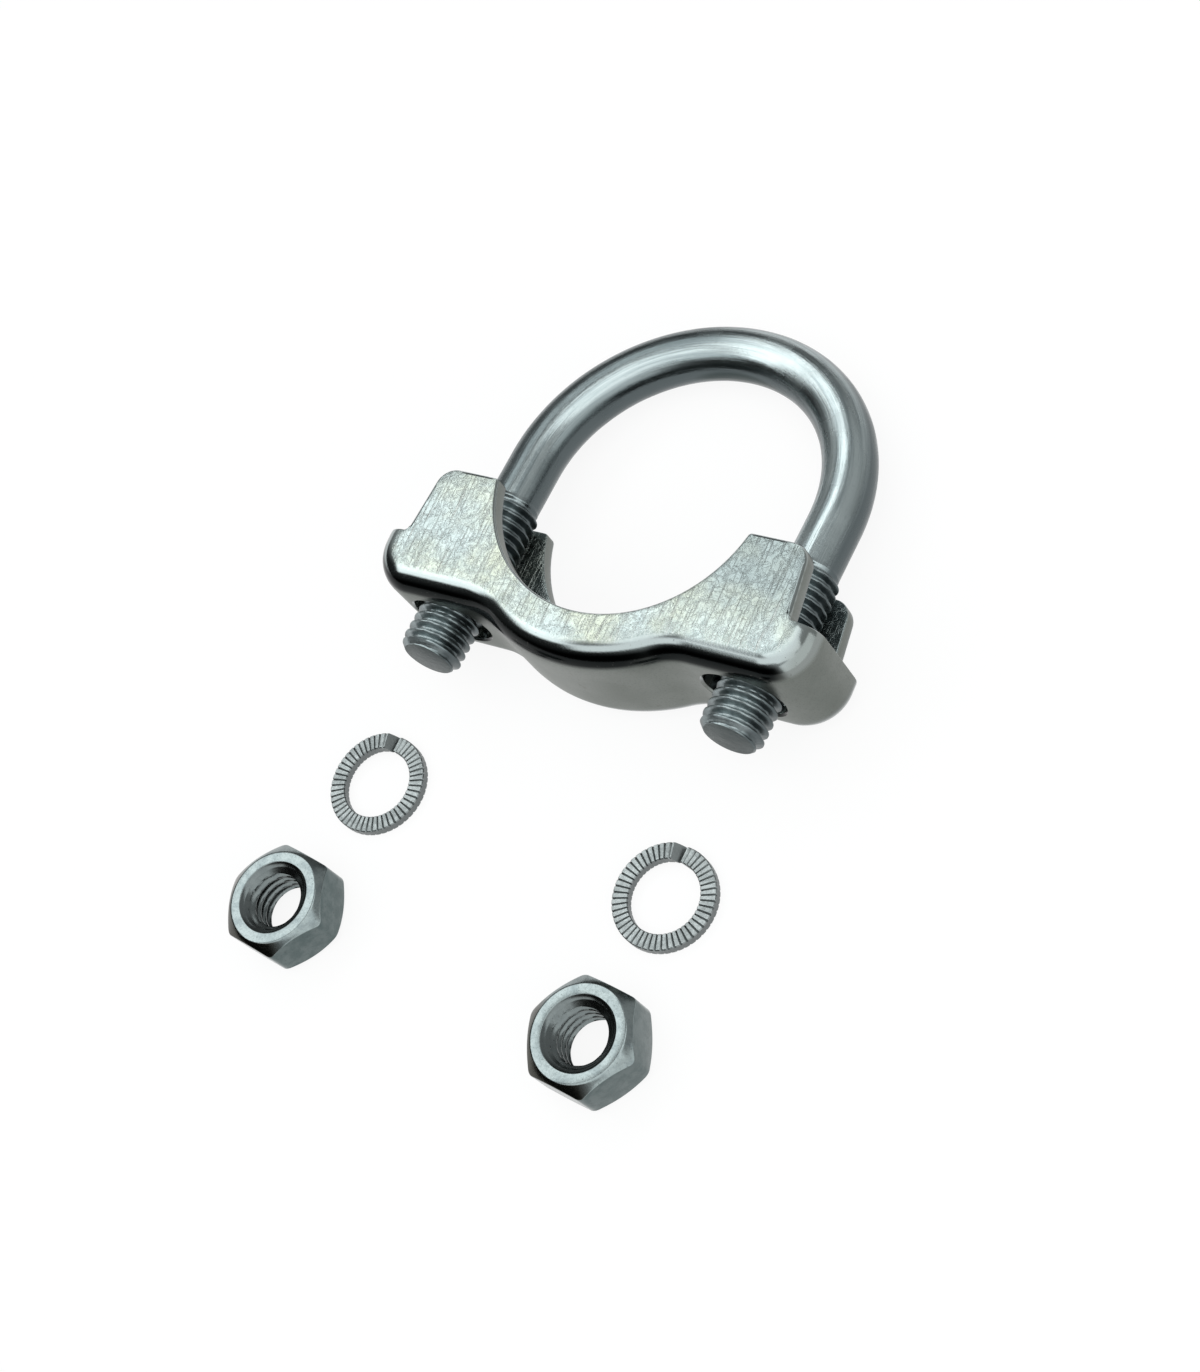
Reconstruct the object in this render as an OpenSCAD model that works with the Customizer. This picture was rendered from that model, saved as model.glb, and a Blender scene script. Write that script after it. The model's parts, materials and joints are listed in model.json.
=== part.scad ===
// U-bolt exhaust clamp, lying on its side with its nuts and washers taken off.
// The pipe axis is Z, the legs point to -Y and the bow to +Y.

/* [Pipe] */
// Outside diameter of the pipe that the clamp closes on
pipe_d = 36.5; // [35:0.5:40]

/* [U-bolt] */
// Diameter of the plain bar
bar_d = 6.8; // [6.4:0.1:7.2]
// Outside diameter of the rolled threads
thread_d = 8; // [7.8:0.1:8.4]
// Thread pitch
thread_pitch = 1.25; // [1:0.05:1.5]
// Length of each thread
thread_len = 21.8; // [20:0.1:24]
// Leg length from the bow's centre to the leg's end
leg_len = 29.8; // [29:0.1:33]
// Chamfer at the legs' ends
leg_chamfer = 0.8; // [0.4:0.1:1.2]
// Distance from the pipe axis to the bow's centre, with the clamp open
open_gap = 3.6; // [3:0.1:6]

/* [Saddle] */
// Width over both cheeks
saddle_w = 16.8; // [16:0.1:19]
// Length over both end walls
saddle_len = 61.6; // [60:0.1:66]
// Sheet thickness
sheet_t = 2.4; // [2:0.1:2.8]
// Outside radius of the bend between web and cheeks
bend_r = 3.4; // [3:0.1:3.6]
// Depth of metal below the cradle, at its middle
web_drop = 6.15; // [5.6:0.05:7]
// How far the nut seats stand above the lowest part of the web
seat_rise = 3.9; // [3:0.1:4.4]
// Radius of the blend from the web's bulge to a seat
blend_r = 9; // [7:0.5:10]
// Outside radius of the corner between a seat and its end wall
end_corner_r = 5.6; // [5:0.1:6.4]
// Distance of the end walls' rim below the pipe axis
rim_drop = 13.3; // [12.6:0.1:14]
// Distance of the horns' tops below the pipe axis
horn_drop = 4; // [3:0.1:5]
// How far a horn's top reaches outward past the leg's centre line
horn_out = 4.4; // [3:0.1:4.6]
// How much further out the horn's foot is than its top
horn_taper = 1.1; // [0.4:0.1:1.6]
// Radius of the horns' outer top corners
horn_r = 2.5; // [1:0.1:3]
// Radius in the notch at a horn's foot
notch_r = 1; // [0.5:0.1:1.2]

/* [Slots] */
// Clearance of a slot across the leg
slot_clear = 1.2; // [1:0.1:1.6]
// Play of a slot along the saddle
slot_play = 2.6; // [1.6:0.1:3.2]
// How far a slot's middle lies inward of the leg
slot_shift = 0.6; // [0:0.1:0.7]

/* [Nuts] */
// Width across flats
nut_af = 13; // [12.6:0.1:14]
// Height
nut_h = 6.6; // [6:0.1:8]
// Diameter of the flat ring on each face
nut_face_d = 12.5; // [11.8:0.1:12.5]
// Slope of the chamfers at the hexagon's corners
nut_chamfer = 40; // [25:1:45]
// Diameter of the countersink
nut_sink_d = 9.3; // [8.8:0.1:10]
// Depth of the countersink
nut_sink = 1; // [0.5:0.1:1.4]

/* [Lock washers] */
// Outside diameter
washer_od = 13.1; // [12.6:0.1:14]
// Clearance of the hole over the thread
washer_clear = 1; // [0.6:0.1:1.4]
// Thickness over the teeth
washer_t = 1.3; // [1:0.1:1.8]
// Number of radial teeth on each face
tooth_count = 48; // [36:1:54]
// Depth of the grooves between the teeth
tooth_depth = 0.16; // [0.1:0.02:0.3]
// Width of the split
split_w = 0.3; // [0.2:0.1:1.2]
// How far the split's slanted faces lean over
split_lean = 1.2; // [0:0.1:1.4]
// How far one end springs up
split_lift = 0.7; // [0.2:0.1:1]

/* [Layout] */
// Place of the right nut
nut_right_at = [17.75, -63.2];
// Place of the left nut
nut_left_at = [-29.05, -59.9];
// Place of the right washer
washer_right_at = [17.9, -44.2];
// Place of the left washer
washer_left_at = [-26.15, -41.2];
// Turn of the right nut
nut_right_turn = 53.7; // [0:0.1:60]
// Turn of the left nut
nut_left_turn = 51.6; // [0:0.1:60]
// Direction of the washers' splits
split_at = 94; // [0:1:360]

/* [Hidden] */
$fn = 96;
rest_gap = 0.1;
over = 1;
pipe_r = pipe_d / 2;
ground = -saddle_w / 2;

// The bow hugs the pipe, and the legs follow from it
leg_x = (pipe_d + bar_d) / 2;
run_out = (thread_d - bar_d) / 2;

// Threads: rings of the pitch and depth of an ISO thread, with flanks at 30 degrees
groove_depth = 0.6134 * thread_pitch;
root_r = thread_d / 2 - groove_depth;
crest = thread_pitch / 8;
flank = groove_depth * tan(30);
groove_count = floor((thread_len - leg_chamfer - crest) / thread_pitch);

// Web: a bulge round the pipe, two blends, two flat seats and two end walls
bulge_r = pipe_r + web_drop;
seat_y = bulge_r - seat_rise;
blend_y = seat_y + blend_r;
blend_x = sqrt(pow(bulge_r + blend_r, 2) - pow(blend_y, 2));
blend_turn = asin(blend_x / (bulge_r + blend_r));
end_x = saddle_len / 2;
corner_x = end_x - end_corner_r;
lap = 0.6;
cheek_depth = bend_r + lap / 2;
slot_w = thread_d + slot_clear;
slot_len = thread_d + slot_play;

// The open clamp's U-bolt rests on the slots' lower edges and on its bow
leg_drop = slot_clear / 2 - 3 * rest_gap;
pivot_y = -(seat_y - sheet_t / 2);
bow_reach = open_gap - pivot_y + leg_x;
bow_droop = asin((saddle_w / 2 - leg_drop - bar_d / 2 - rest_gap) / bow_reach);

// Horns: a top edge, a tapered outer edge and a rounded corner between them
horn_top_x = leg_x + horn_out;
horn_foot_x = horn_top_x + horn_taper;
taper = atan(horn_taper / (rim_drop - horn_drop));
corner_cut = horn_r * tan(45 - taper / 2);
notch_cut = notch_r / tan(45 + taper / 2);

nut_bore_d = thread_d - 1.0825 * thread_pitch;
nut_corner_r = nut_af / 2 / cos(30);
nut_bevel = (nut_corner_r - nut_face_d / 2) * tan(nut_chamfer);

washer_id = thread_d + washer_clear;
washer_steps = 3 * tooth_count;
split_turn = split_w / (washer_od / 2) * 180 / PI;
lean_turn = split_lean / (washer_od / 2) * 180 / PI;

function arc(centre, r, from, to, n = 16, first = 0, last = 0) =
    [for (i = [first:n - last]) let(a = from + (to - from) * i / n) centre + r * [cos(a), sin(a)]];
function mirrored(points) = [for (i = [len(points) - 1:-1:1]) [-points[i].x, points[i].y]];

// Outline of the grooves, from the thread's start to the leg's end
function grooves() = [
    for (i = [0:groove_count - 1])
        let(from = leg_len - thread_len + crest / 2 + i * thread_pitch, to = from + thread_pitch - crest)
            each [[thread_d / 2, from], [root_r, from + flank], [root_r, to - flank], [thread_d / 2, to]]
];

// One threaded leg, standing on the bow's centre line with its end up
module leg() {
    rotate_extrude()
        polygon(concat(
            [[0, 0], [bar_d / 2, 0], [bar_d / 2, leg_len - thread_len - run_out]],
            [[thread_d / 2, leg_len - thread_len]],
            grooves(),
            [[thread_d / 2, leg_len - leg_chamfer], [thread_d / 2 - leg_chamfer, leg_len], [0, leg_len]]
        ));
}

module u_bolt() {
    color([0.66, 0.72, 0.75])
        translate([0, pivot_y, -leg_drop])
            rotate([-bow_droop, 0, 0])
                translate([0, open_gap - pivot_y, 0]) {
                    rotate_extrude(angle = 180)
                        translate([leg_x, 0])
                            circle(d = bar_d);
                    for (side = [-1, 1])
                        translate([side * leg_x, 0, 0])
                            rotate([90, 0, 0])
                                leg();
                }
}

// Rounded end of a channel: x is the depth from the web's outer face
module channel_form(inset) {
    r = bend_r - inset;
    half = saddle_w / 2 - bend_r;
    translate([inset, -half])
        square([bend_r + lap - inset, 2 * half]);
    translate([bend_r, -half - r])
        square([lap, 2 * (half + r)]);
    for (side = [-1, 1])
        translate([bend_r, side * half])
            circle(r);
}

// Section of the folded sheet: the web, both bends and the start of each cheek
module channel_section() {
    difference() {
        channel_form(0);
        channel_form(sheet_t);
        translate([bend_r + lap, -saddle_w])
            square([bend_r + lap, 2 * saddle_w]);
    }
}

module channel_along(start, length, direction) {
    translate(start)
        rotate(direction)
            rotate([90, 0, 90])
                linear_extrude(length)
                    channel_section();
}

module channel_round(centre, r, from, to) {
    translate(centre)
        rotate(from)
            rotate_extrude(angle = to - from)
                translate([r, 0])
                    mirror([1, 0])
                        channel_section();
}

module channel_over(centre, r, from, to) {
    translate(centre)
        rotate(from)
            rotate_extrude(angle = to - from)
                translate([r, 0])
                    channel_section();
}

// Half of the web with its bends, from the bulge's middle to the end wall's rim
module half_web() {
    channel_round([0, 0], bulge_r, -90, -90 + blend_turn);
    channel_over([blend_x, -blend_y], blend_r, 90, 90 + blend_turn);
    channel_along([blend_x, -seat_y], corner_x - blend_x, 0);
    channel_round([corner_x, end_corner_r - seat_y], end_corner_r, -90, 0);
    channel_along([end_x, end_corner_r - seat_y], seat_y - end_corner_r - rim_drop, 90);
}

function half_cheek() =
    let(
        notch = [horn_foot_x + notch_cut, notch_r - rim_drop],
        horn = [horn_top_x - corner_cut, -horn_drop - horn_r]
    )
    concat(
        arc([0, 0], bulge_r - cheek_depth, -90, -90 + blend_turn, last = 1),
        arc([blend_x, -blend_y], blend_r + cheek_depth, 90 + blend_turn, 90, first = 1),
        arc([corner_x, end_corner_r - seat_y], end_corner_r - cheek_depth, -90, 0),
        [[end_x - cheek_depth, -rim_drop]],
        arc(notch, notch_r, 270, 180 + taper, 8),
        arc(horn, horn_r, taper, 90, 12)
    );

module cheek_outline() {
    polygon(concat(mirrored(half_cheek()), half_cheek()));
}

module slot_cutter() {
    translate([leg_x - slot_shift, -seat_y - over, 0])
        rotate([-90, 0, 0]) {
            for (end = [-1, 1])
                translate([end * (slot_len - slot_w) / 2, 0, 0])
                    cylinder(d = slot_w, h = end_corner_r);
            translate([0, 0, end_corner_r / 2])
                cube([slot_len - slot_w, slot_w, end_corner_r], center = true);
        }
}

module saddle() {
    color([0.74, 0.77, 0.76])
        difference() {
            union() {
                for (side = [0, 1])
                    mirror([side, 0, 0])
                        half_web();
                for (z = [-saddle_w / 2, saddle_w / 2 - sheet_t])
                    translate([0, 0, z])
                        linear_extrude(sheet_t)
                            cheek_outline();
            }
            cylinder(r = pipe_r, h = saddle_w + 2 * over, center = true);
            for (side = [0, 1])
                mirror([side, 0, 0])
                    slot_cutter();
        }
}

module hex_nut(at, turn) {
    translate([at.x, at.y, ground])
        rotate(turn)
            difference() {
                intersection() {
                    cylinder(r = nut_corner_r, h = nut_h, $fn = 6);
                    rotate_extrude()
                        polygon([
                            [0, 0],
                            [nut_face_d / 2, 0],
                            [nut_corner_r, nut_bevel],
                            [nut_corner_r, nut_h - nut_bevel],
                            [nut_face_d / 2, nut_h],
                            [0, nut_h]
                        ]);
                }
                translate([0, 0, -over])
                    cylinder(d = nut_bore_d, h = nut_h + 2 * over);
                cylinder(d1 = nut_sink_d, d2 = nut_bore_d, h = nut_sink);
                translate([0, 0, nut_h - nut_sink])
                    cylinder(d1 = nut_bore_d, d2 = nut_sink_d, h = nut_sink);
            }
}

module nut_left() {
    color([0.62, 0.66, 0.66])
        hex_nut(nut_left_at, nut_left_turn);
}

module nut_right() {
    color([0.62, 0.66, 0.66])
        hex_nut(nut_right_at, nut_right_turn);
}

// How far the washer's ring has sprung up at step i, from the raised end
function spring_up(i) = split_lift * pow(max(0, 1 - 2 * i / washer_steps), 2);
function groove(i) = i % 3 == 2 ? tooth_depth : 0;
// The lower edge of each end leans by lean_turn, and the lean fades out over two teeth
function lean(i) = lean_turn * max(0, 1 - min(i, washer_steps - i) / 6);
function washer_ring(i) =
    let(
        a = split_at + (split_turn + lean_turn) / 2 + (360 - split_turn - lean_turn) * i / washer_steps,
        low = a - lean(i),
        up = spring_up(i)
    )
    [
        for (k = [0:3])
            let(
                r = (k == 0 || k == 3 ? washer_id : washer_od) / 2,
                b = k < 2 ? low : a,
                z = k < 2 ? groove(i) : washer_t - groove(i)
            )
            [r * cos(b), r * sin(b), up + z]
    ];

module lock_washer(at) {
    rings = [for (i = [0:washer_steps]) each washer_ring(i)];
    sides = [
        for (i = [0:washer_steps - 1], k = [0:3])
            [4 * i + k, 4 * i + (k + 1) % 4, 4 * (i + 1) + (k + 1) % 4, 4 * (i + 1) + k]
    ];
    last = 4 * washer_steps;
    ends = [[3, 2, 1, 0], [last, last + 1, last + 2, last + 3]];
    translate([at.x, at.y, ground])
        polyhedron(rings, concat(sides, ends), convexity = 4);
}

module lock_washer_left() {
    color([0.58, 0.62, 0.62])
        lock_washer(washer_left_at);
}

module lock_washer_right() {
    color([0.58, 0.62, 0.62])
        lock_washer(washer_right_at);
}

u_bolt();
saddle();
nut_left();
nut_right();
lock_washer_left();
lock_washer_right();
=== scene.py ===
import json
import math

import bmesh
import bpy
import numpy as np
from mathutils import Euler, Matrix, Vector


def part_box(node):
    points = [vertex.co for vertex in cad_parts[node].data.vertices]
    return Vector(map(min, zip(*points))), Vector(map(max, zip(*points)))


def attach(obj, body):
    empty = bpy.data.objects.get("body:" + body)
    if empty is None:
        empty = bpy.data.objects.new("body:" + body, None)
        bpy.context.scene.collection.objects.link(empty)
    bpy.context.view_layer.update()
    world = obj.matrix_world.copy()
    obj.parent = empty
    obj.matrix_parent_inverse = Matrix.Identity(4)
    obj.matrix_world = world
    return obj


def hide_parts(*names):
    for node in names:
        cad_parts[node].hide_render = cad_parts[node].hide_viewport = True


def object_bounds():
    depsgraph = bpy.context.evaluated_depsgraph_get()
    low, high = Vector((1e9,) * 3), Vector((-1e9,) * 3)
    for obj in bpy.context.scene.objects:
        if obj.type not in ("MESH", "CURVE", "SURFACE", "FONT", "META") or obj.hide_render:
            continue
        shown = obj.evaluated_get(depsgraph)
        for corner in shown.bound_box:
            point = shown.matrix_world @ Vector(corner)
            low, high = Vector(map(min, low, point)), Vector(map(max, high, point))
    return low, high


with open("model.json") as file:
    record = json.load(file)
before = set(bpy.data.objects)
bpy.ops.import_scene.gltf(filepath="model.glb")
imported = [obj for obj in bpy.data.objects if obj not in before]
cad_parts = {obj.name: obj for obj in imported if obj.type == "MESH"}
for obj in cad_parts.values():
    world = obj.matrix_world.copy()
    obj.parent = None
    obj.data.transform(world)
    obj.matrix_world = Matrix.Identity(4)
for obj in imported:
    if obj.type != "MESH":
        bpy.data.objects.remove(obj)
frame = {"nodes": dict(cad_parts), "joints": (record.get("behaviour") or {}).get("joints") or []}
scene = bpy.context.scene
cadBox = [list(corner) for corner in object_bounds()]
mm = 0.001
print("frame loaded:", sorted(frame["nodes"]))

view = {
    "place": (155.9, -101.34, 238.12),  # millimetres
    "turn": (27.6858, 23.6691, 25.7404),  # degrees
    "lens": 65.23,
    "film": 36,
    "near": 0.01,  # metres
    "far": 50,
}

studio = {
    "floorSize": 8000,
    "floorGap": 0.02,  # how far the floor lies below the part
    "floorColour": (0.95, 0.95, 0.95, 1),
    "floorGlow": 0.9,  # how much of the floor's white is its own
    "lightColour": (0.97, 1.0, 1.0, 1),
    "room": 0.5,
    "dark": [
        # azimuth, elevation, cosines between which the unlit side starts, share taken
        (-135, -8, 0.25, 0.72, 0.95),
        (118, -5, 0.6, 0.95, 0.7),
    ],
    "panels": [
        # azimuth, elevation, half width, half height, soft edge, light
        (-22, 20, 42, 20.5, 0.05, 1.4),
        (-35, 74, 30, 29, 0.05, 1.75),
        (-75, 55, 38, 12, 0.06, 1.6),
        (165, 53, 40, 10.5, 0.06, 2.5),
    ],
}


def unit(vectors):
    return vectors / np.linalg.norm(vectors, axis=-1, keepdims=True)


def arc(centre, radius, start, end, count):
    angles = np.radians(np.linspace(start, end, count))
    return np.array(centre) + radius * np.stack([np.cos(angles), np.sin(angles)], 1)


def line(start, end, count):
    return np.linspace(start, end, count)


def roundOff(t, start, corner, end):
    return (1 - t) ** 2 * start + 2 * t * (1 - t) * corner + t * t * end


def curve(start, corner, end, count):
    t = np.linspace(0, 1, count)[:, None]
    return roundOff(t, np.array(start), np.array(corner), np.array(end))


def soften(corners, cuts, steps=4):
    # rounds the inner corners of a profile; each corner is an array with one point a column
    rows = [corners[0]]
    for before, here, after, cut in zip(corners, corners[1:], corners[2:], cuts):
        start = here + cut * unit(before - here)
        end = here + cut * unit(after - here)
        for t in np.linspace(0, 1, steps):
            rows.append(roundOff(t, start, here, end))
    rows.append(corners[-1])
    return rows


def smooth(x):
    x = np.clip(x, 0, 1)
    return x * x * (3 - 2 * x)


def loft(rings, joined=False):
    rings = np.asarray(rings)
    count, around = rings.shape[:2]
    faces = []
    for i in range(count if joined else count - 1):
        here = i * around
        there = (i + 1) % count * around
        for k in range(around):
            beside = (k + 1) % around
            faces.append((here + k, here + beside, there + beside, there + k))
    if not joined:
        faces.append(tuple(range(around)))
        faces.append(tuple(range((count - 1) * around, count * around)))
    return rings.reshape(-1, 3), faces


def solid(name, points, faces, finish, sharp=34):
    mesh = bpy.data.meshes.new(name)
    mesh.from_pydata([tuple(point) for point in points * mm], [], faces)
    shell = bmesh.new()
    shell.from_mesh(mesh)
    bmesh.ops.recalc_face_normals(shell, faces=shell.faces)
    shell.to_mesh(mesh)
    shell.free()
    mesh.shade_smooth()
    mesh.set_sharp_from_angle(angle=math.radians(sharp))
    piece = bpy.data.objects.new(name, mesh)
    scene.collection.objects.link(piece)
    if finish:
        mesh.materials.append(finish)
    return piece


def dress(piece, body, node):
    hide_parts(node)
    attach(piece, body)


def grain(piece, name, vectors):
    layer = piece.data.attributes.new(name, "FLOAT_VECTOR", "POINT")
    layer.data.foreach_set("vector", np.asarray(vectors, np.float32).ravel())


class Wire:  # a socket that takes part in sums
    def __init__(self, nodes, socket):
        self.nodes = nodes
        self.socket = socket

    def maths(self, operation, *values):
        return self.nodes.add("ShaderNodeMath", {"operation": operation}, dict(enumerate(values)))

    def __add__(self, other):
        return self.maths("ADD", self, other)

    def __sub__(self, other):
        return self.maths("SUBTRACT", self, other)

    def __rsub__(self, other):
        return self.maths("SUBTRACT", other, self)

    def __mul__(self, other):
        return self.maths("MULTIPLY", self, other)

    def __abs__(self):
        return self.maths("ABSOLUTE", self)

    __radd__ = __add__
    __rmul__ = __mul__


class Nodes:
    def __init__(self, owner):
        owner.use_nodes = True
        self.tree = owner.node_tree
        self.tree.nodes.clear()

    def add(self, kind, settings=None, inputs=None, output=0):
        made = self.tree.nodes.new(kind)
        for name, value in (settings or {}).items():
            setattr(made, name, value)
        for name, value in (inputs or {}).items():
            if isinstance(value, Wire):
                self.tree.links.new(value.socket, made.inputs[name])
            else:
                made.inputs[name].default_value = value
        return Wire(self, made.outputs[output]) if made.outputs else made

    def noise(self, place, scale, detail=4.0, roughness=0.5, distortion=0.0):
        inputs = {"Vector": place, "Scale": scale, "Detail": detail, "Roughness": roughness}
        inputs["Distortion"] = distortion
        return self.add("ShaderNodeTexNoise", {}, inputs)

    def between(self, value, low, high):
        settings = {"interpolation_type": "SMOOTHSTEP"}
        inputs = {"Value": value, "From Min": low, "From Max": high}
        return self.add("ShaderNodeMapRange", settings, inputs)

    def mix(self, share, first, second):
        return self.add("ShaderNodeMix", {"data_type": "RGBA"}, {0: share, 6: first, 7: second}, 2)

    def place(self):
        # the place on the part in millimetres
        spot = self.add("ShaderNodeTexCoord", {}, {}, "Object")
        return self.stretch(spot, (1 / mm, 1 / mm, 1 / mm))

    def stretch(self, vector, scale, turn=(0, 0, 0)):
        inputs = {"Vector": vector, "Scale": scale, "Rotation": [math.radians(t) for t in turn]}
        return self.add("ShaderNodeMapping", {}, inputs)

    def split(self, vector):
        parts = self.add("ShaderNodeSeparateXYZ", {}, {"Vector": vector}).socket.node
        return [Wire(self, parts.outputs[axis]) for axis in "XYZ"]

    def facing(self):
        # the surface's own direction: right, back and up
        return self.split(self.add("ShaderNodeNewGeometry", {}, {}, "Normal"))

    def metal(self, colour, roughness, bump, depth):
        inputs = {"Height": bump, "Strength": 1.0, "Distance": depth * mm}
        normal = self.add("ShaderNodeBump", {}, inputs)
        inputs = {"Base Color": colour, "Roughness": roughness, "Metallic": 1.0, "Normal": normal}
        shader = self.add("ShaderNodeBsdfPrincipled", {}, inputs)
        self.add("ShaderNodeOutputMaterial", {}, {"Surface": shader})


def newFinish(name):
    material = bpy.data.materials.new(name)
    return material, Nodes(material)


def sheetFinish():
    # pressed zinc-plated sheet: dappled satin flats, polished bends, a dull web; the web's darker
    # colour, the dark band in the bends and the darker undersides are painted shade
    material, n = newFinish("platedSheet")
    spot = n.place()
    x, y, up = n.facing()
    cheek = n.between(abs(up), 0.95, 0.995)
    web = n.between(abs(up), 0.3, 0.08)
    cloud = n.noise(spot, 0.13, 3.0)
    dapple = n.noise(spot, 0.42, 4.0, 0.6, 1.4)
    vein = n.between(abs(n.noise(spot, 0.8, 5.0, 0.6, 1.0) - 0.5), 0.05, 0.0)
    fine = n.noise(spot, 4.2, 5.0, 0.65)
    speck = n.between(n.noise(spot, 2.3, 2.0, 0.5), 0.69, 0.75)
    scratch = n.noise(n.stretch(spot, (3.4, 0.14, 0.5), (0, 0, -24)), 1.0, 4.0, 0.6)
    scratch = n.between(scratch, 0.55, 0.7)
    flat = n.mix(n.between(cloud, 0.35, 0.7), sheetTone["cool"], sheetTone["warm"])
    flat = n.mix(n.between(dapple, 0.42, 0.66) * 0.45, flat, sheetTone["dapple"])
    flat = n.mix(vein * 0.3, flat, sheetTone["vein"])
    flat = n.mix(scratch * 0.55, flat, sheetTone["scratch"])
    right, back = n.split(spot)[:2]
    # painted shade: the flat on the right horn is darker
    rightHornShade = n.between(right, 4, 20) * n.between(back, -17, -9)
    flat = n.mix(rightHornShade * 0.6, flat, sheetTone["rightHornShade"])
    # painted shade: the web gets a darker colour than the flats; its cloudy tone and the stain are
    # the sheet's own
    webShadeAndStain = n.mix(n.between(cloud, 0.3, 0.7), sheetTone["web"], sheetTone["webLight"])
    webShadeAndStain = n.mix(n.between(fine, 0.45, 0.75) * 0.5, webShadeAndStain, sheetTone["webDark"])
    stain = n.between(n.noise(spot, 0.55, 6.0, 0.7), 0.62, 0.72)
    webShadeAndStain = n.mix(stain * 0.7, webShadeAndStain, sheetTone["stain"])
    # painted shade: bends facing left and towards the front get the near-black fold tone
    shaded = n.between(0 - y - x * 0.6, 0.25, 0.5) * n.between(up, 0.84, 0.66)
    bend = n.mix(shaded, sheetTone["rim"], sheetTone["fold"])
    # painted shade: bends facing right are darkened towards the web's tone
    bend = n.mix(n.between(x, 0.3, 0.7) * 0.6, bend, sheetTone["webLight"])
    bend = n.mix(n.between(up, 0.35, 0.08), bend, webShadeAndStain)
    colour = n.mix(n.between(up, 0.9, 0.985), bend, flat)
    # painted shade: surfaces facing down get a darker tone
    colour = n.mix(n.between(up, 0.0, -0.3), colour, sheetTone["underShade"])
    colour = n.mix(speck * 0.5, colour, sheetTone["speck"])
    roughness = 0.12 + cheek * 0.1 + web * 0.26 + n.between(fine, 0.35, 0.7) * cheek * 0.1
    relief = dapple * cheek * 1.1 + cloud * cheek * 5 + vein * cheek * 0.2
    relief = relief + fine * (0.1 + 0.1 * cheek) + scratch * cheek * 0.4
    n.metal(colour, roughness, relief, 0.06)
    return material


def barFinish():
    # drawn bar: glossy, with streaks along it; the leg ends are sawn and dull, and their darker
    # colour is painted shade, as are the darker sides and the darker outside of the left half
    material, n = newFinish("platedBar")
    along = n.add("ShaderNodeAttribute", {"attribute_name": "along"}, {}, "Vector")
    streak = n.noise(n.stretch(along, (5.0, 5.0, 0.05)), 1.0, 5.0, 0.62)
    hair = n.noise(n.stretch(along, (17.0, 17.0, 0.16)), 1.0, 3.0, 0.6)
    spot = n.place()
    fine = n.noise(spot, 2.4, 6.0, 0.65)
    cloud = n.noise(spot, 0.2, 3.0)
    y = n.facing()[1]
    up, inward, travel = n.split(along)  # up is 1 on the bar's crown and 0 on its sides
    threaded = n.between(abs(travel), *barTone["threadZone"])
    colour = n.mix(n.between(streak, 0.4, 0.66), barTone["light"], barTone["streak"])
    colour = n.mix(n.between(hair, 0.55, 0.75) * 0.4, colour, barTone["hair"])
    colour = n.mix(n.between(fine, 0.55, 0.75) * 0.35, colour, barTone["stain"])
    colour = n.mix(threaded * 0.45, colour, barTone["hair"])
    # painted shade: the bar's sides and underside are darker than its crown
    colour = n.mix(n.between(up, 0.86, 0.4), colour, barTone["side"])
    # painted shade: surfaces facing the front, the leg ends, get a darker tone
    colour = n.mix(n.between(y, -0.92, -0.98), colour, barTone["end"])
    # painted shade: the outside of the bow's left half is darker
    outside = n.between(inward + streak * 0.2, 0.42, 0.24)
    outsideShade = outside * n.between(travel, *barTone["outsideShadeZone"])
    colour = n.mix(outsideShade * (1 - threaded) * 0.85, colour, barTone["outsideShade"])
    roughness = 0.14 + 0.1 * n.between(cloud, 0.4, 0.65) + 0.1 * streak + 0.12 * threaded
    n.metal(colour, roughness, streak + hair * 0.4 + fine * 0.4, 0.04)
    return material


def nutFinish():
    material, n = newFinish("platedNut")
    spot = n.place()
    fine = n.noise(spot, 3.4, 6.0, 0.65)
    dapple = n.noise(spot, 0.7, 4.0, 0.6)
    speck = n.between(n.noise(spot, 3.8, 2.0), 0.64, 0.72)
    x, y, up = n.facing()
    colour = n.mix(n.between(dapple, 0.4, 0.66), nutTone["light"], nutTone["dapple"])
    colour = n.mix(n.between(fine, 0.45, 0.7) * 0.3, colour, nutTone["fine"])
    # painted shade: the nut's sides are darker than its faces
    side = n.mix(n.between(dapple, 0.35, 0.65), nutTone["side"], nutTone["sideLight"])
    # painted shade: surfaces facing left and front get a dark tone, mostly on the chamfers
    shaded = n.between(0 - y - x * 0.8, 0.1, 0.4) * n.between(up, 0.95, 0.8)
    colour = n.mix(shaded, colour, nutTone["chamfer"])
    colour = n.mix(n.between(up, 0.5, 0.15), colour, side)
    # painted shade inside the bore
    inside = n.add("ShaderNodeAttribute", {"attribute_name": "bore"}, {}, "Fac")
    colour = n.mix(inside * 0.75, colour, nutTone["bore"])
    colour = n.mix(speck * 0.5, colour, nutTone["speck"])
    roughness = 0.12 + 0.12 * n.between(fine, 0.3, 0.7)
    n.metal(colour, roughness, fine + dapple * 0.8, 0.005)
    return material


def washerFinish():
    material, n = newFinish("platedWasher")
    spot = n.place()
    fine = n.noise(spot, 3.0, 5.0, 0.6)
    cloud = n.noise(spot, 0.5, 3.0)
    up = n.facing()[2]
    colour = n.mix(n.between(cloud, 0.35, 0.7), washerTone["light"], washerTone["cloud"])
    # painted shade: the washer's walls are darker than its faces
    colour = n.mix(n.between(up, 0.92, 0.5), colour, washerTone["side"])
    roughness = 0.3 + 0.2 * n.between(fine, 0.3, 0.7)
    n.metal(colour, roughness, fine, 0.02)
    return material


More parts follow.
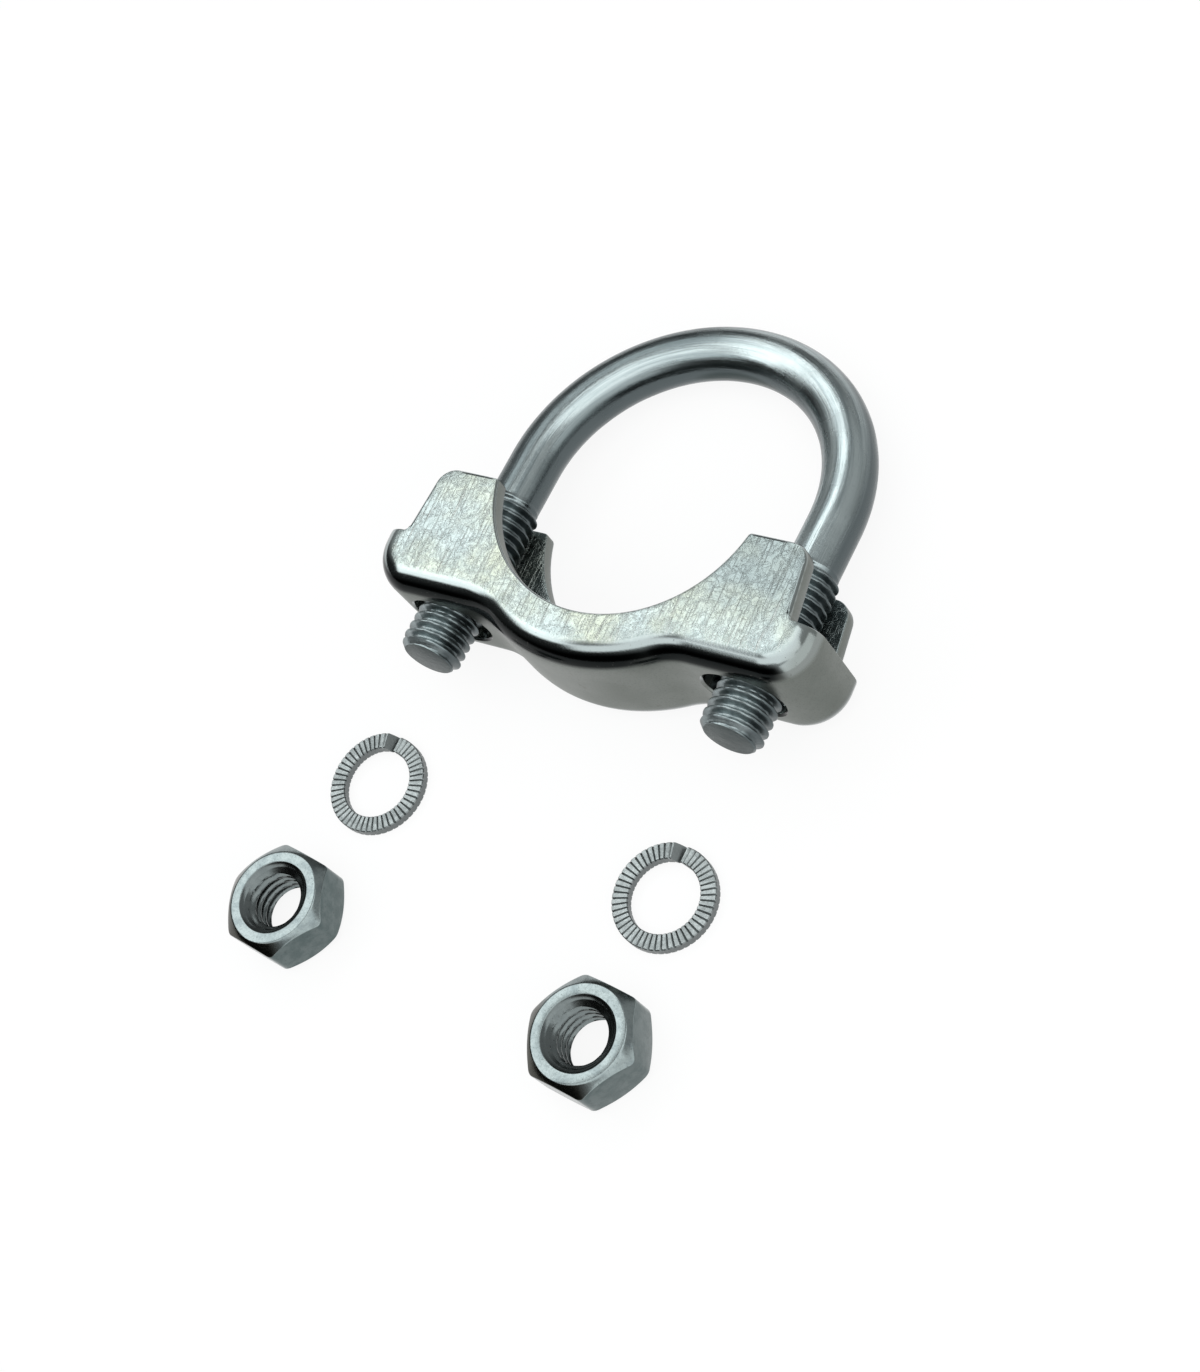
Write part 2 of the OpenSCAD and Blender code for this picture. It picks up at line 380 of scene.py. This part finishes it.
sheetTone = {
    "cool": (0.43, 0.495, 0.49, 1),
    "warm": (0.47, 0.505, 0.42, 1),
    "dapple": (0.29, 0.345, 0.345, 1),
    # painted shade on the right horn's flat
    "rightHornShade": (0.2, 0.24, 0.245, 1),
    "vein": (0.56, 0.60, 0.59, 1),
    "scratch": (0.56, 0.58, 0.55, 1),
    # the web tones are painted shade on the web; webLight also darkens the bends facing right
    "web": (0.15, 0.165, 0.15, 1),
    "webLight": (0.2, 0.215, 0.2, 1),
    "webDark": (0.1, 0.115, 0.105, 1),
    "rim": (0.34, 0.38, 0.38, 1),
    # painted shade, near black, for the bends
    "fold": (0.012, 0.014, 0.014, 1),
    # painted shade for surfaces facing down
    "underShade": (0.2, 0.22, 0.22, 1),
    "stain": (0.09, 0.08, 0.06, 1),
    "speck": (0.12, 0.12, 0.11, 1),
}
barTone = {
    "light": (0.46, 0.52, 0.525, 1),
    "streak": (0.29, 0.34, 0.35, 1),
    "hair": (0.22, 0.26, 0.27, 1),
    "stain": (0.24, 0.28, 0.28, 1),
    # painted shade on the bar's sides and underside
    "side": (0.1, 0.12, 0.125, 1),
    # painted shade for the leg ends
    "end": (0.05, 0.066, 0.066, 1),
    "outsideShade": (0.09, 0.11, 0.115, 1),  # painted shade: the outside of the left half is darker
    "threadZone": (40, 42),  # both zones are measured along the bar from the bow's middle
    "outsideShadeZone": (6, -8),
}
nutTone = {
    "light": (0.27, 0.31, 0.31, 1),
    "dapple": (0.2, 0.235, 0.24, 1),
    "fine": (0.16, 0.19, 0.19, 1),
    # side and sideLight are painted shade on the nut's sides
    "side": (0.09, 0.12, 0.12, 1),
    "sideLight": (0.13, 0.16, 0.16, 1),
    # painted shade for surfaces facing left and front
    "chamfer": (0.07, 0.07, 0.06, 1),
    # painted shade inside the bore
    "bore": (0.1, 0.11, 0.11, 1),
    "speck": (0.06, 0.065, 0.065, 1),
}
washerTone = {
    "light": (0.36, 0.39, 0.39, 1),
    "cloud": (0.26, 0.285, 0.285, 1),
    # painted shade on the washer's walls
    "side": (0.17, 0.185, 0.185, 1),
}

sheetMetal = sheetFinish()
barMetal = barFinish()
nutMetal = nutFinish()
washerMetal = washerFinish()
print("finishes made")

threadForm = {
    # shares of half a pitch, counted from a crest's middle
    "rootFrom": 0.8,
    "flank": 0.66,
    "straight": 0.55,  # share of the flank's shape that is straight; the rest is rounded
}
bolt = {
    # radii and lengths in millimetres
    "bar": 3.4,
    "thread": 4.0,
    "root": 3.25,
    "pitch": 1.25,
    "threadLength": 21.8,
    "runOut": 1.9,
    "chamfer": 0.8,
    "endDip": 0.1,
    "legLength": 29.8,
    "bend": 21.65,
    "openGap": 3.6,
    "pivot": -19.3,
    "drop": 0.3,
    "spokes": 64,
    "endRings": [0, 0.03, 0.06],
    "threadFrom": 0.12,  # where the evenly spaced rings start
    "ringsPerTurn": 14,
    "bendRings": 150,
    "sharp": 40,
}
slide = frame["joints"][0]["axis"]
boltDroop = math.atan2(-slide[2], slide[1])


def ridge(phase):
    # 1 on a crest and 0 in a root; the flanks are straight and the crest a little round
    away = np.abs(phase % 1 - 0.5) * 2
    flank = np.clip((threadForm["rootFrom"] - away) / threadForm["flank"], 0, 1)
    return threadForm["straight"] * flank + (1 - threadForm["straight"]) * smooth(flank)


def boltRings():
    bend = bolt["bend"] * math.pi
    total = 2 * bolt["legLength"] + bend
    step = bolt["pitch"] / bolt["ringsPerTurn"]
    threaded = bolt["threadLength"] + bolt["runOut"]
    near = np.concatenate([bolt["endRings"], np.arange(bolt["threadFrom"], threaded, step)])
    middle = np.linspace(threaded, total - threaded, bolt["bendRings"])
    travel = np.concatenate([near, middle, (total - near)[::-1]])
    angle = np.radians(np.arange(bolt["spokes"]) * 360 / bolt["spokes"])
    turn = np.clip((travel - bolt["legLength"]) / bolt["bend"], 0, math.pi)
    toEnd = np.minimum(travel, total - travel)
    centre = np.stack([-bolt["bend"] * np.cos(turn), bolt["bend"] * np.sin(turn), 0 * turn], 1)
    centre[:, 1] += np.minimum(toEnd - bolt["legLength"], 0)
    ahead = np.stack([np.sin(turn), np.cos(turn), 0 * turn], 1)
    upward = np.array([0.0, 0.0, 1.0])
    sideways = np.cross(ahead, upward)
    toEnd = toEnd[:, None]
    phase = travel[:, None] / bolt["pitch"] - angle[None, :] / (2 * math.pi)
    threadRadius = bolt["root"] + (bolt["thread"] - bolt["root"]) * ridge(phase)
    share = smooth((threaded - toEnd) / bolt["runOut"])
    radius = bolt["bar"] + (threadRadius - bolt["bar"]) * share
    radius = np.minimum(radius, bolt["thread"] - bolt["chamfer"] + toEnd)
    radius[[0, -1]] -= bolt["endDip"]
    rings = (
        centre[:, None, :]
        + radius[:, :, None] * np.cos(angle)[None, :, None] * upward
        + radius[:, :, None] * np.sin(angle)[None, :, None] * sideways[:, None, :]
    )
    along = np.stack(
        [
            np.broadcast_to(np.cos(angle), radius.shape),
            np.broadcast_to(np.sin(angle), radius.shape),
            np.broadcast_to(travel[:, None] - total / 2, radius.shape),
        ],
        2,
    )
    y = rings[:, :, 1] + bolt["openGap"] - bolt["pivot"]
    z = rings[:, :, 2].copy()
    rings[:, :, 1] = y * math.cos(boltDroop) + z * math.sin(boltDroop) + bolt["pivot"]
    rings[:, :, 2] = z * math.cos(boltDroop) - y * math.sin(boltDroop) - bolt["drop"]
    return rings, along


boltShape, boltAlong = boltRings()
uBolt = solid("uBolt", *loft(boltShape), barMetal, bolt["sharp"])
grain(uBolt, "along", boltAlong.reshape(-1, 3))
dress(uBolt, "bolt", "u_bolt")
print("u-bolt made:", len(uBolt.data.vertices), "points")

saddle = {
    "halfWidth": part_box("saddle")[1].z / mm,
    "halfLength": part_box("saddle")[1].x / mm,
    "sheet": 2.4,
    "fold": 3.4,  # outside radius of the bend between web and cheek
    "pipe": 18.25,
    "bulge": 24.4,
    "seat": 20.5,
    "blend": 9.0,
    "corner": 5.6,
    "rim": 13.3,
    "hornTop": 4.0,
    "hornReach": 26.05,
    "hornTaper": 1.1,
    "hornRound": 2.5,
    "notch": 1.0,
    "tip": 0.5,
    "frontEdge": 0.5,  # rounding of the cut edges on the outside
    "backEdge": 0.16,
    "endInsets": [0.28, 0.14, 0.04],  # rounding of the turned-up ends' rim
    "wallRows": [0, 0.03, 0.12, 0.28, 0.8],  # distances from that rim
    "seatRows": [0.9, 0.4],  # distances from the horn's tip
    "blendTurns": (-35, -60),  # on the pipe's circle, above the bend from seat to bulge
    "slotMiddle": 21.05,
    "slotHalf": 5.3,
    "slotRadius": 4.6,
    "slotFlare": [
        # depth into the web, how much wider the slot is there
        (-1, 0.45),
        (0, 0.28),
        (0.1, 0.12),
        (0.28, 0),
        (2.15, 0),
        (2.3, 0.1),
        (2.4, 0.22),
        (2.5, 0.4),
        (4.6, 0.4),
    ],
    "sharp": 30,
}


def resample(points, lengths):
    steps = np.linalg.norm(np.diff(points, axis=0), axis=1)
    travelled = np.concatenate([[0], np.cumsum(steps)])
    return np.stack([np.interp(lengths, travelled, points[:, i]) for i in (0, 1)], 1)


def lengthOf(points):
    return np.linalg.norm(np.diff(points, axis=0), axis=1).sum()


def saddleStations():
    # stations from the right end wall's rim to the middle: web point, web normal, outline point
    s = saddle
    endX = s["halfLength"]
    cornerX = endX - s["corner"]
    cornerY = s["corner"] - s["seat"]
    blendY = s["seat"] + s["blend"]
    blendX = math.sqrt((s["bulge"] + s["blend"]) ** 2 - blendY**2)
    blendTurn = math.degrees(math.asin(blendX / (s["bulge"] + s["blend"])))
    taper = math.atan(s["hornTaper"] / (s["rim"] - s["hornTop"]))
    footX = s["hornReach"] + s["hornTaper"]
    cornerCut = s["hornRound"] * math.tan(math.radians(45) - taper / 2)
    notchCut = s["notch"] / math.tan(math.radians(45) + taper / 2)
    notch = np.array([footX + notchCut, s["notch"] - s["rim"]])
    horn = np.array([s["hornReach"] - cornerCut, -s["hornTop"] - s["hornRound"]])
    tipX = math.sqrt(s["pipe"] ** 2 - s["hornTop"] ** 2)
    tipAngle = -math.degrees(math.asin(s["hornTop"] / s["pipe"]))
    tipTurn = math.degrees(s["tip"] / s["pipe"])

    wallY = [-s["rim"] - row for row in s["wallRows"]]
    foldX = endX - s["fold"]
    notchFrom = 180 + math.degrees(math.acos((notch[0] - foldX) / s["notch"]))
    foot = arc(notch, s["notch"], notchFrom, 180 + math.degrees(taper), 9)
    hornArc = arc(horn, s["hornRound"], math.degrees(taper), 90, 15)
    tip = curve(
        (tipX + s["tip"], -s["hornTop"]),
        (tipX, -s["hornTop"]),
        arc((0, 0), s["pipe"], tipAngle - tipTurn, tipAngle - tipTurn, 1)[0],
        6,
    )
    seatX = [tipX + row for row in s["seatRows"]] + [blendX]
    blendFrom, blendTo = s["blendTurns"]
    spans = [
        # web points, web normals, outline points
        (
            np.array([(endX, y) for y in wallY] + [(endX, cornerY)]),
            np.array([(1.0, 0.0)] * 6),
            resample(foot, np.linspace(0, lengthOf(foot), 6)),
        ),
        (
            arc((cornerX, cornerY), s["corner"], 0, -90, 19),
            arc((0, 0), 1, 0, -90, 19),
            line(foot[-1], hornArc[0], 19),
        ),
        (
            line((cornerX, -s["seat"]), (seatX[0], -s["seat"]), 25),
            np.array([(0.0, -1.0)] * 25),
            np.concatenate([hornArc[:-1], line(hornArc[-1], tip[0], 11)]),
        ),
        (
            line((seatX[0], -s["seat"]), (seatX[1], -s["seat"]), 6),
            np.array([(0.0, -1.0)] * 6),
            tip,
        ),
        (
            line((seatX[1], -s["seat"]), (seatX[2], -s["seat"]), 7),
            np.array([(0.0, -1.0)] * 7),
            arc((0, 0), s["pipe"], tipAngle - tipTurn, blendFrom, 7),
        ),
        (
            arc((blendX, -blendY), s["blend"], 90, 90 + blendTurn, 11),
            -arc((0, 0), 1, 90, 90 + blendTurn, 11),
            arc((0, 0), s["pipe"], blendFrom, blendTo, 11),
        ),
        (
            arc((0, 0), s["bulge"], -90 + blendTurn, -90, 21),
            arc((0, 0), 1, -90 + blendTurn, -90, 21),
            arc((0, 0), s["pipe"], blendTo, -90, 21),
        ),
    ]
    return (np.concatenate([spans[0][i]] + [span[i][1:] for span in spans[1:]]) for i in range(3))


def saddleRing(web, normal, rim, outward, inset):
    s = saddle
    half = s["halfWidth"] - s["fold"]
    foot = web - normal * s["fold"]
    depth = np.linalg.norm(rim - foot)

    def halfRing(fold, face, edge, sign):
        # from the cut edge over the cheek and the bend to the web's middle
        edge = min(edge, 0.4 * depth)
        points = []
        for turn in np.radians(np.linspace(0, 90, 4)):
            back = edge * (1 - math.sin(math.pi / 2 - turn)) + inset
            points.append((*(rim - outward * back), face - sign * edge * (1 - math.sin(turn))))
        start = rim - outward * (edge + inset)
        for t in np.linspace(0, 1, 9)[1:]:
            points.append((*(start + (foot - start) * t), face))
        for turn in np.radians(np.linspace(0, 90, 10))[1:]:
            spot = web - normal * (s["fold"] - fold * math.sin(turn))
            points.append((*spot, half + fold * math.cos(turn)))
        for z in np.linspace(half, 0, 6)[1:]:
            points.append((*(web - normal * (s["fold"] - fold)), z))
        return np.array(points)

    outer = halfRing(s["fold"] - inset, s["halfWidth"] - inset, s["frontEdge"], 1)
    sheet = s["sheet"] - inset
    back = halfRing(s["fold"] - sheet, s["halfWidth"] - sheet, s["backEdge"], -1)
    flip = np.array([1.0, 1.0, -1.0])
    return np.concatenate([outer, (outer * flip)[-2::-1], back * flip, back[-2::-1]])


def saddleRings():
    web, normal, outline = saddleStations()
    tangent = np.gradient(outline, axis=0)
    outward = unit(np.stack([tangent[:, 1], -tangent[:, 0]], 1))
    outward[-1] = (0, 1)
    insets = saddle["endInsets"] + [0] * (len(web) - len(saddle["endInsets"]))
    half = [saddleRing(*row) for row in zip(web, normal, outline, outward, insets)]
    flip = np.array([-1.0, 1.0, 1.0])
    return half + [ring * flip for ring in half[-2::-1]]


def slotCutter(side):
    s = saddle
    shift = s["slotHalf"] - s["slotRadius"]
    rings = []
    for depth, wider in s["slotFlare"]:
        radius = s["slotRadius"] + wider
        right = arc((shift, 0), radius, -90, 90, 25)
        left = arc((-shift, 0), radius, 90, 270, 25)
        loop = np.concatenate([right, left])
        rings.append([(side * s["slotMiddle"] + x, depth - s["seat"], z) for x, z in loop])
    return solid("slotCutter", *loft(rings), None)


saddlePiece = solid("pressedSaddle", *loft(saddleRings()), sheetMetal, saddle["sharp"])
for side in (-1, 1):
    cutter = slotCutter(side)
    cut = saddlePiece.modifiers.new("slot", "BOOLEAN")
    cut.operation = "DIFFERENCE"
    cut.solver = "EXACT"
    cut.object = cutter
    bpy.context.view_layer.update()
    graph = bpy.context.evaluated_depsgraph_get()
    slotted = bpy.data.meshes.new_from_object(saddlePiece.evaluated_get(graph))
    saddlePiece.modifiers.clear()
    saddlePiece.data = slotted
    bpy.data.objects.remove(cutter)
saddlePiece.data.set_sharp_from_angle(angle=math.radians(saddle["sharp"]))
dress(saddlePiece, "root", "saddle")
print("saddle made:", len(saddlePiece.data.vertices), "points")

nut = {
    "flat": 6.5,
    "height": 6.6,
    "faceRing": 5.9,
    "sink": 4.65,
    "sinkDepth": 1.0,
    "lip": 0.3,
    "bore": 3.3234,
    "root": 4.02,
    "pitch": 1.25,
    "cornerRound": 1.0,
    "chamfer": 40,  # degrees
    "edgeCuts": [0.1, 0.16, 0.1, 0.1, 0.16, 0.1],
    "turns": {"nut_left": 51.6, "nut_right": 53.7},
    "threadFrom": 0.36,
    "threadRows": 80,
    "boreMargin": 0.02,
    "sharp": 28,
}


def nutColumns():
    # angles and hexagon radii, closer together at the rounded corners
    cornerRound = nut["cornerRound"]
    cos30 = math.cos(math.radians(30))
    inner = (nut["flat"] - cornerRound) / cos30
    tangent = math.degrees(math.atan2(cornerRound * 0.5, inner + cornerRound * cos30))
    beside = np.concatenate([np.linspace(0, tangent, 5)[:-1], np.linspace(tangent, 30, 12)])
    offsets = np.concatenate([-beside[:0:-1], beside[:-1]])
    angles = np.radians(np.concatenate([offsets + 60 * i for i in range(6)]))
    away = np.abs((np.degrees(angles) + 30) % 60 - 30)
    turn = np.radians(away)
    onFlat = nut["flat"] / np.cos(math.radians(30) - turn)
    inside = np.maximum(cornerRound**2 - (inner * np.sin(turn)) ** 2, 0)
    onRound = inner * np.cos(turn) + np.sqrt(inside)
    return angles, np.where(away < tangent, onRound, onFlat)


def nutRings():
    angles, hexagon = nutColumns()
    height = nut["height"]
    lip = nut["lip"]
    slope = math.tan(math.radians(nut["chamfer"]))

    def row(radius, z):
        return np.stack([radius + 0 * angles, z + 0 * angles], 1)

    drop = (hexagon - nut["faceRing"]) * slope
    outside = [
        row(nut["sink"] - lip, height - lip),
        row(nut["sink"], height),
        row(nut["faceRing"], height),
        row(hexagon, height - drop),
        row(hexagon, drop),
        row(nut["faceRing"], 0),
        row(nut["sink"], 0),
        row(nut["sink"] - lip, lip),
    ]
    rows = soften(outside, nut["edgeCuts"])
    for z in np.linspace(nut["threadFrom"], height - nut["threadFrom"], nut["threadRows"]):
        phase = z / nut["pitch"] - angles / (2 * math.pi)
        thread = nut["root"] - (nut["root"] - nut["bore"]) * ridge(phase)
        toFace = min(z, height - z)
        cone = nut["sink"] - (nut["sink"] - nut["bore"]) * min(toFace / nut["sinkDepth"], 1)
        rows.append(row(np.maximum(thread, cone), z))
    rows = np.array(rows)
    radius, z = rows[:, :, 0], rows[:, :, 1]
    shape = np.stack([radius * np.cos(angles), radius * np.sin(angles), z], 2)
    return shape, radius < nut["sink"] - nut["boreMargin"]


def placed(rings, node, turn):
    low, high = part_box(node)
    middle = (low + high) / 2 / mm
    c, s = math.cos(math.radians(turn)), math.sin(math.radians(turn))
    x, y, z = rings[:, :, 0], rings[:, :, 1], rings[:, :, 2]
    return np.stack([x * c - y * s + middle.x, x * s + y * c + middle.y, z + low.z / mm], 2)


for node, turn in nut["turns"].items():
    shape, bore = nutRings()
    shape = placed(shape, node, turn)
    name = node.replace("_l", "L").replace("_r", "R")
    piece = solid(name, *loft(shape, joined=True), nutMetal, nut["sharp"])
    grain(piece, "bore", np.repeat(bore.reshape(-1, 1), 3, 1))
    dress(piece, "root", node)
print("nuts made:", len(shape) * len(shape[0]), "points each")

washer = {
    "outer": 6.55,
    "inner": 4.5,
    "thickness": 1.3,
    "teeth": 48,
    "toothDepth": 0.17,
    "toothSteep": 5,
    "stepsPerTooth": 12,
    "splitWidth": 0.3,
    "splitLean": 1.2,
    "splitLift": 0.7,
    "splitAt": 94,
    "leanTeeth": 2.0,  # how many teeth beside the split lean with it
    "ribInset": 0.7,
    "edge": 0.12,
    "sharp": 40,
}


def washerRings():
    w = washer
    steps = w["teeth"] * w["stepsPerTooth"]
    i = np.arange(steps + 1)
    splitTurn = math.degrees(w["splitWidth"] / w["outer"])
    leanTurn = math.degrees(w["splitLean"] / w["outer"])
    turn = w["splitAt"] + (splitTurn + leanTurn) / 2 + (360 - splitTurn - leanTurn) * i / steps
    leaning = w["leanTeeth"] * w["stepsPerTooth"]
    lean = leanTurn * np.clip(1 - np.minimum(i, steps - i) / leaning, 0, 1)
    lift = w["splitLift"] * np.clip(1 - 2 * i / steps, 0, 1) ** 2
    tooth = (i % w["stepsPerTooth"]) / w["stepsPerTooth"]
    groove = w["toothDepth"] * smooth(1 - np.abs(tooth - 0.5) * w["toothSteep"])
    edge = w["edge"]
    rib = w["ribInset"]
    middle = w["thickness"] / 2
    rings = []
    for k in range(steps + 1):
        low = groove[k]
        high = w["thickness"] - groove[k]
        section = [
            (w["inner"], middle),
            (w["inner"], low + edge),
            (w["inner"] + edge, low),
            (w["inner"] + rib, low),
            (w["outer"] - rib, low),
            (w["outer"] - edge, low),
            (w["outer"], low + edge),
            (w["outer"], middle),
            (w["outer"], high - edge),
            (w["outer"] - edge, high),
            (w["outer"] - rib, high),
            (w["inner"] + rib, high),
            (w["inner"] + edge, high),
            (w["inner"], high - edge),
        ]
        ring = []
        for radius, z in section:
            angle = math.radians(turn[k] - lean[k] * (1 - z / w["thickness"]))
            ring.append((radius * math.cos(angle), radius * math.sin(angle), z + lift[k]))
        rings.append(ring)
    return np.array(rings)


for node in ("lock_washer_left", "lock_washer_right"):
    shape = washerRings()
    low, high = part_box(node)
    shape += np.array([(low.x + high.x) / 2, (low.y + high.y) / 2, low.z]) / mm
    name = "lockWasher" + node[12:].capitalize()
    piece = solid(name, *loft(shape), washerMetal, washer["sharp"])
    dress(piece, "root", node)
print("lock washers made:", shape.shape[0] * shape.shape[1], "points each")

floorHeight = cadBox[0][2] / mm - studio["floorGap"]
reach = studio["floorSize"] / 2
floorCorners = [(-reach, -reach), (reach, -reach), (reach, reach), (-reach, reach)]
floorCorners = np.array([(x, y, floorHeight) for x, y in floorCorners])
floorMaterial, n = newFinish("whiteFloor")
paper = n.add("ShaderNodeBsdfDiffuse", {}, {"Color": studio["floorColour"]})
glow = n.add("ShaderNodeEmission", {}, {"Color": (1, 1, 1, 1), "Strength": 1.0})
path = n.add("ShaderNodeLightPath").socket.node
seen = Wire(n, path.outputs["Is Camera Ray"]) + Wire(n, path.outputs["Is Glossy Ray"])
seen = (seen + Wire(n, path.outputs["Is Transmission Ray"])) * studio["floorGlow"]
both = n.add("ShaderNodeMixShader", {}, {0: seen, 1: paper, 2: glow})
n.add("ShaderNodeOutputMaterial", {}, {"Surface": both})
floor = solid("floor", floorCorners, [(0, 1, 2, 3)], floorMaterial)

world = bpy.data.worlds.new("studio")
scene.world = world
n = Nodes(world)
towards = n.add("ShaderNodeTexCoord", {}, {}, "Generated")


def facing(direction):
    settings = {"operation": "DOT_PRODUCT"}
    return n.add("ShaderNodeVectorMath", settings, {0: towards, 1: direction}, "Value")


def pointing(azimuth, elevation):
    a, e = math.radians(azimuth), math.radians(elevation)
    return math.cos(e) * math.cos(a), math.cos(e) * math.sin(a), math.sin(e)


glare = studio["room"]
for azimuth, elevation, outer, inner, share in studio["dark"]:
    glare = (1 - share * n.between(facing(pointing(azimuth, elevation)), outer, inner)) * glare
for azimuth, elevation, halfWidth, halfHeight, edge, strength in studio["panels"]:
    # a soft rectangle of light, as a window or softbox looks from the part
    ahead = facing(pointing(azimuth, elevation))
    across = abs(facing(pointing(azimuth + 90, 0)))
    up = abs(facing(pointing(azimuth, elevation + 90)))
    inWidth = n.between(ahead * math.tan(math.radians(halfWidth)) - across, -edge, edge)
    inHeight = n.between(ahead * math.tan(math.radians(halfHeight)) - up, -edge, edge)
    share = inWidth * inHeight
    glare = glare * (1 - share) + share * strength
inputs = {"Color": studio["lightColour"], "Strength": glare}
light = n.add("ShaderNodeBackground", {}, inputs)
n.add("ShaderNodeOutputWorld", {}, {"Surface": light})

camera = bpy.data.cameras.new("photoView")
camera.sensor_fit = "VERTICAL"
camera.sensor_height = view["film"]
camera.lens = view["lens"]
camera.clip_start = view["near"]
camera.clip_end = view["far"]
viewer = bpy.data.objects.new("photoView", camera)
viewer.location = [c * mm for c in view["place"]]
viewer.rotation_euler = Euler([math.radians(t) for t in view["turn"]])
scene.collection.objects.link(viewer)
scene.camera = viewer
scene.view_settings.view_transform = "Standard"
print("studio ready")
